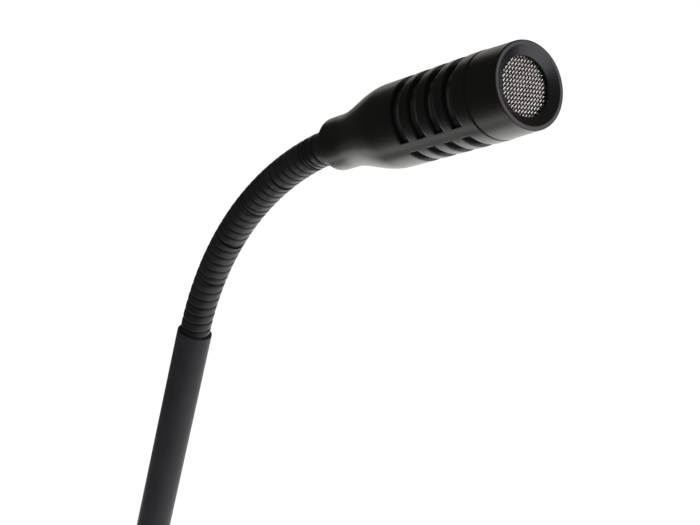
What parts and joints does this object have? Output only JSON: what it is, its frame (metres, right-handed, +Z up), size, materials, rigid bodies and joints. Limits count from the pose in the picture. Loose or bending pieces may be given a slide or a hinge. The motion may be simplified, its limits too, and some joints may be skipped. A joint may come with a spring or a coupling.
{
  "type": "desktop gooseneck microphone",
  "caption": "Desktop microphone with a weighted wedge base, an upright tube, a bendable gooseneck and a slotted tubular head with a wire-mesh front.",
  "frame": {"origin": "point where the stand tube's axis meets the table, on the underside of the base's rubber pad", "axes": "+Z up along the stand tube, -Y to the front, where the talk button is and the head points, +X to the object's left-hand side as a person facing its front sees it on the right"},
  "size_m": [0.1, 0.1629, 0.3496],
  "materials": {
    "black_anodised": "satin black anodised",
    "black_tube": "satin black powder coat",
    "neck_winding": "semi-matt black coated wire",
    "steel_mesh": "bright woven stainless wire",
    "black_plastic": "matt moulded",
    "black_foam": "open-cell acoustic foam and cloth",
    "capsule_can": "plain drawn can",
    "black_rubber": "matt",
    "lead_wire": "satin insulation",
    "circuit_board": "solder resist",
    "component_plastic": "moulded",
    "brass": "turned",
    "cable_jacket": "soft extruded jacket",
    "plain_steel": "zinc plated",
    "base_plastic": "fine spark-eroded texture",
    "plate_steel": "black coated sheet",
    "cast_ballast": "as cast",
    "connector_nylon": "natural nylon",
    "button_plastic": "satin",
    "led_red": "clear red",
    "nickel_nut": "nickel plated"
  },
  "bodies": {
    "stand": {"neck_root": "neck_winding", "neck_socket": "brass", "signal_cable": "cable_jacket", "stem_tube": "black_tube", "stem_collar": "black_anodised", "stem_washer": "plain_steel", "stem_nut": "brass", "base_housing": "base_plastic", "base_plate": "plate_steel", "base_pad": "black_rubber", "ballast_weight": "cast_ballast", "plate_screws": "plain_steel", "control_board": "circuit_board", "board_screws": "plain_steel", "cable_connector": "connector_nylon", "talk_switch": "component_plastic", "button_bezel": "black_anodised", "status_led": "led_red", "led_lens": "led_red", "output_jack": "black_plastic", "jack_nut": "nickel_nut", "jack_lead": "cable_jacket"},
    "neck_1": {"neck_section_01": "neck_winding"},
    "neck_2": {"neck_section_02": "neck_winding"},
    "neck_3": {"neck_section_03": "neck_winding"},
    "neck_4": {"neck_section_04": "neck_winding"},
    "neck_5": {"neck_section_05": "neck_winding"},
    "neck_6": {"neck_section_06": "neck_winding"},
    "neck_7": {"neck_section_07": "neck_winding"},
    "neck_8": {"neck_section_08": "neck_winding"},
    "neck_9": {"neck_section_09": "neck_winding"},
    "neck_10": {"neck_section_10": "neck_winding"},
    "head": {"neck_end": "neck_winding", "head_ferrule": "brass", "head_housing": "black_anodised", "front_cap": "black_anodised", "front_mesh": "steel_mesh", "mesh_ring": "black_plastic", "foam_disc": "black_foam", "acoustic_liner": "black_foam", "capsule": "capsule_can", "capsule_holder": "black_rubber", "capsule_leads": "lead_wire", "preamp_board": "circuit_board", "preamp_components": "component_plastic"},
    "button": {"talk_button": "button_plastic", "switch_plunger": "component_plastic"}
  },
  "joints": [
    {"name": "neck_bend_1", "type": "hinge", "parent": "stand", "child": "neck_1", "pos_m": [0, -0.0001, 0.22895], "axis": [1, 0, 0], "range_deg": [-9, 8], "deforming": ["signal_cable"]},
    {"name": "neck_side_1", "type": "hinge", "parent": "neck_1", "child": "neck_2", "pos_m": [0, -0.00085, 0.23682], "axis": [0, 0.99, 0.1411], "range_deg": [-8, 8]},
    {"name": "neck_bend_2", "type": "hinge", "parent": "neck_2", "child": "neck_3", "pos_m": [0, -0.00232, 0.24459], "axis": [1, 0, 0], "range_deg": [-9, 8]},
    {"name": "neck_side_2", "type": "hinge", "parent": "neck_3", "child": "neck_4", "pos_m": [0, -0.00447, 0.2522], "axis": [0, 0.9493, 0.3143], "range_deg": [-8, 8]},
    {"name": "neck_bend_3", "type": "hinge", "parent": "neck_4", "child": "neck_5", "pos_m": [0, -0.00727, 0.25959], "axis": [1, 0, 0], "range_deg": [-9, 8]},
    {"name": "neck_side_3", "type": "hinge", "parent": "neck_5", "child": "neck_6", "pos_m": [0, -0.01068, 0.26673], "axis": [0, 0.8843, 0.467], "range_deg": [-8, 8]},
    {"name": "neck_bend_4", "type": "hinge", "parent": "neck_6", "child": "neck_7", "pos_m": [0, -0.01465, 0.27357], "axis": [1, 0, 0], "range_deg": [-9, 8]},
    {"name": "neck_side_4", "type": "hinge", "parent": "neck_7", "child": "neck_8", "pos_m": [0, -0.01913, 0.28008], "axis": [0, 0.8021, 0.5972], "range_deg": [-8, 8]},
    {"name": "neck_bend_5", "type": "hinge", "parent": "neck_8", "child": "neck_9", "pos_m": [0, -0.02408, 0.28625], "axis": [1, 0, 0], "range_deg": [-9, 8]},
    {"name": "neck_side_5", "type": "hinge", "parent": "neck_9", "child": "neck_10", "pos_m": [0, -0.02945, 0.29205], "axis": [0, 0.7095, 0.7047], "range_deg": [-8, 8]},
    {"name": "neck_bend_6", "type": "hinge", "parent": "neck_10", "child": "head", "pos_m": [0, -0.03521, 0.29747], "axis": [1, 0, 0], "range_deg": [-9, 8]},
    {"name": "talk_button_press", "type": "slide", "parent": "stand", "child": "button", "axis": [0, 0, -1], "range_m": [0, 0.0015], "stiffness_N_per_m": 300, "springref_m": -0.002}
  ],
  "couplings": [
    {"joint": "neck_bend_2", "follows": "neck_bend_1", "ratio": 1},
    {"joint": "neck_side_2", "follows": "neck_side_1", "ratio": 1},
    {"joint": "neck_bend_3", "follows": "neck_bend_1", "ratio": 1},
    {"joint": "neck_side_3", "follows": "neck_side_1", "ratio": 1},
    {"joint": "neck_bend_4", "follows": "neck_bend_1", "ratio": 1},
    {"joint": "neck_side_4", "follows": "neck_side_1", "ratio": 1},
    {"joint": "neck_bend_5", "follows": "neck_bend_1", "ratio": 1},
    {"joint": "neck_side_5", "follows": "neck_side_1", "ratio": 1},
    {"joint": "neck_bend_6", "follows": "neck_bend_1", "ratio": 1}
  ]
}
